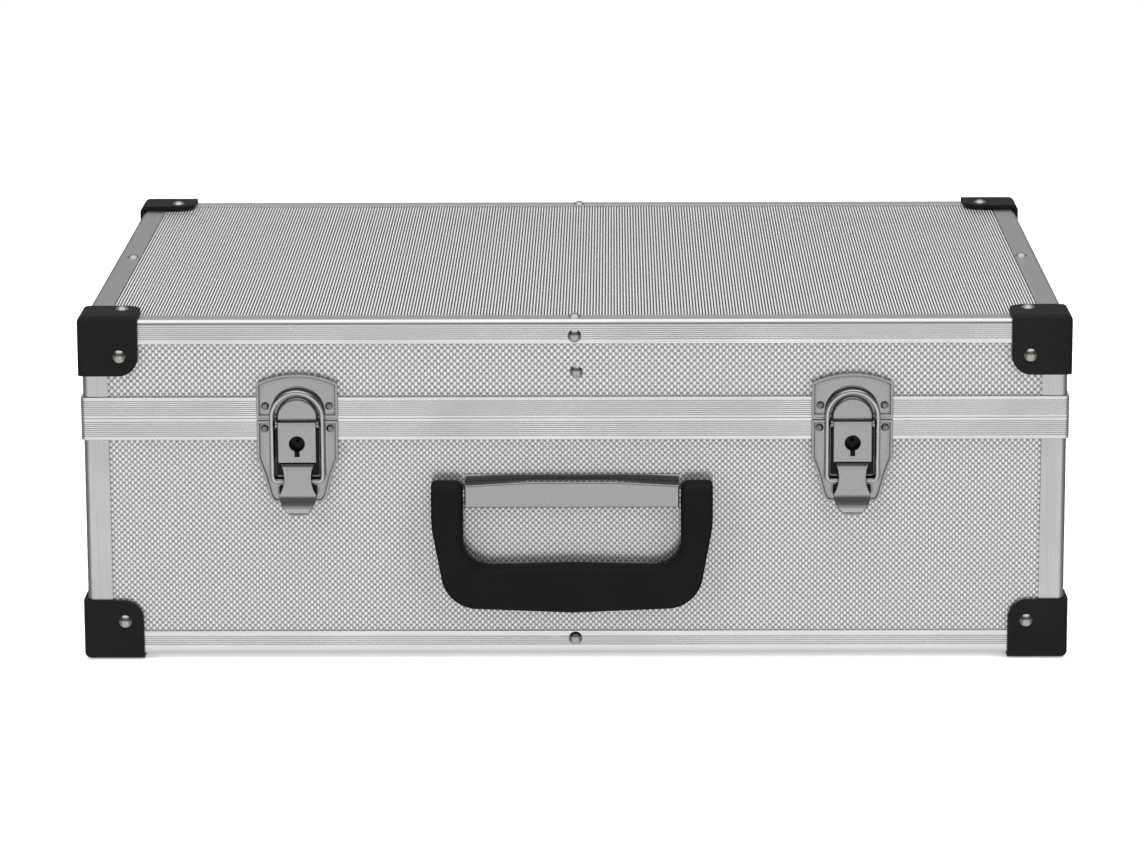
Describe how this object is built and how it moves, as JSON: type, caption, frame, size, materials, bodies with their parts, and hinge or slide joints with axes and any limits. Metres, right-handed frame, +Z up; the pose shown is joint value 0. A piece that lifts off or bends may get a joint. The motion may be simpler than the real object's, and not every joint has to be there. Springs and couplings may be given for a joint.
{
  "type": "poker chip carrying case",
  "caption": "Metal-framed hard carrying case with hinged lid, lockable draw latches, front carry handle and a lift-out tray for poker chips.",
  "frame": {"origin": "middle of the footprint, on the plane that the lower corner guards stand on", "axes": "+X to the right along the long side, +Y from the latch side to the hinge side, +Z up"},
  "size_m": [0.4632, 0.3469, 0.1649],
  "materials": {
    "edge_aluminium": "satin",
    "silver_panel": "satin",
    "black_plastic": "satin",
    "nickel": "gloss",
    "chrome": "polished",
    "steel": "satin",
    "lining_cloth": "matte",
    "foam": "matte"
  },
  "bodies": {
    "base": {"base_bottom_panel": "silver_panel", "base_front_panel": "silver_panel", "base_back_panel": "silver_panel", "base_left_panel": "silver_panel", "base_right_panel": "silver_panel", "base_front_edge": "edge_aluminium", "base_back_edge": "edge_aluminium", "base_left_edge": "edge_aluminium", "base_right_edge": "edge_aluminium", "base_corner_posts": "edge_aluminium", "base_rim": "edge_aluminium", "base_corner_guards": "black_plastic", "base_rivets": "nickel", "base_lining": "lining_cloth", "tray_rails": "foam", "tray_wells": "foam", "tray_frame": "foam", "left_chip_bank": "foam", "right_chip_bank": "foam", "base_hinge_leaves": "steel", "base_hinge_rivets": "nickel", "hinge_pins": "steel", "left_latch_plate": "chrome", "left_plate_rivets": "nickel", "left_lever_pin": "steel", "left_latch_lock": "steel", "right_latch_plate": "chrome", "right_plate_rivets": "nickel", "right_lever_pin": "steel", "right_latch_lock": "steel", "handle_bracket": "chrome", "handle_rod": "steel"},
    "lid": {"lid_top_panel": "silver_panel", "lid_front_panel": "silver_panel", "lid_back_panel": "silver_panel", "lid_left_panel": "silver_panel", "lid_right_panel": "silver_panel", "lid_front_edge": "edge_aluminium", "lid_back_edge": "edge_aluminium", "lid_left_edge": "edge_aluminium", "lid_right_edge": "edge_aluminium", "lid_corner_posts": "edge_aluminium", "lid_rim": "edge_aluminium", "lid_corner_guards": "black_plastic", "lid_rivets": "nickel", "lid_lining": "lining_cloth", "lid_foam_pad": "foam", "lid_hinge_leaves": "steel", "lid_hinge_rivets": "nickel", "left_strike_plate": "chrome", "left_strike_rivets": "nickel", "right_strike_plate": "chrome", "right_strike_rivets": "nickel"},
    "left_lever": {"left_latch_lever": "chrome"},
    "left_bail": {"left_latch_bail": "chrome"},
    "right_lever": {"right_latch_lever": "chrome"},
    "right_bail": {"right_latch_bail": "chrome"},
    "handle": {"handle_grip": "black_plastic"}
  },
  "joints": [
    {"name": "lid_hinge", "type": "hinge", "parent": "base", "child": "lid", "pos_m": [0, 0.1709, 0.115], "axis": [-1, 0, 0], "range_deg": [0, 100]},
    {"name": "left_lever_pivot", "type": "hinge", "parent": "base", "child": "left_lever", "pos_m": [-0.1285, -0.1658, 0.1132], "axis": [-1, 0, 0], "range_deg": [0, 120]},
    {"name": "left_bail_pivot", "type": "hinge", "parent": "left_lever", "child": "left_bail", "pos_m": [-0.1285, -0.164, 0.086], "axis": [1, 0, 0], "range_deg": [0, 120]},
    {"name": "right_lever_pivot", "type": "hinge", "parent": "base", "child": "right_lever", "pos_m": [0.1285, -0.1658, 0.1132], "axis": [-1, 0, 0], "range_deg": [0, 120]},
    {"name": "right_bail_pivot", "type": "hinge", "parent": "right_lever", "child": "right_bail", "pos_m": [0.1285, -0.164, 0.086], "axis": [1, 0, 0], "range_deg": [0, 120]},
    {"name": "handle_pivot", "type": "hinge", "parent": "base", "child": "handle", "pos_m": [-0.0014, -0.1666, 0.0805], "axis": [-1, 0, 0], "range_deg": [0, 90]}
  ],
  "couplings": [
    {"joint": "left_bail_pivot", "follows": "left_lever_pivot", "ratio": 1},
    {"joint": "right_bail_pivot", "follows": "right_lever_pivot", "ratio": 1}
  ]
}
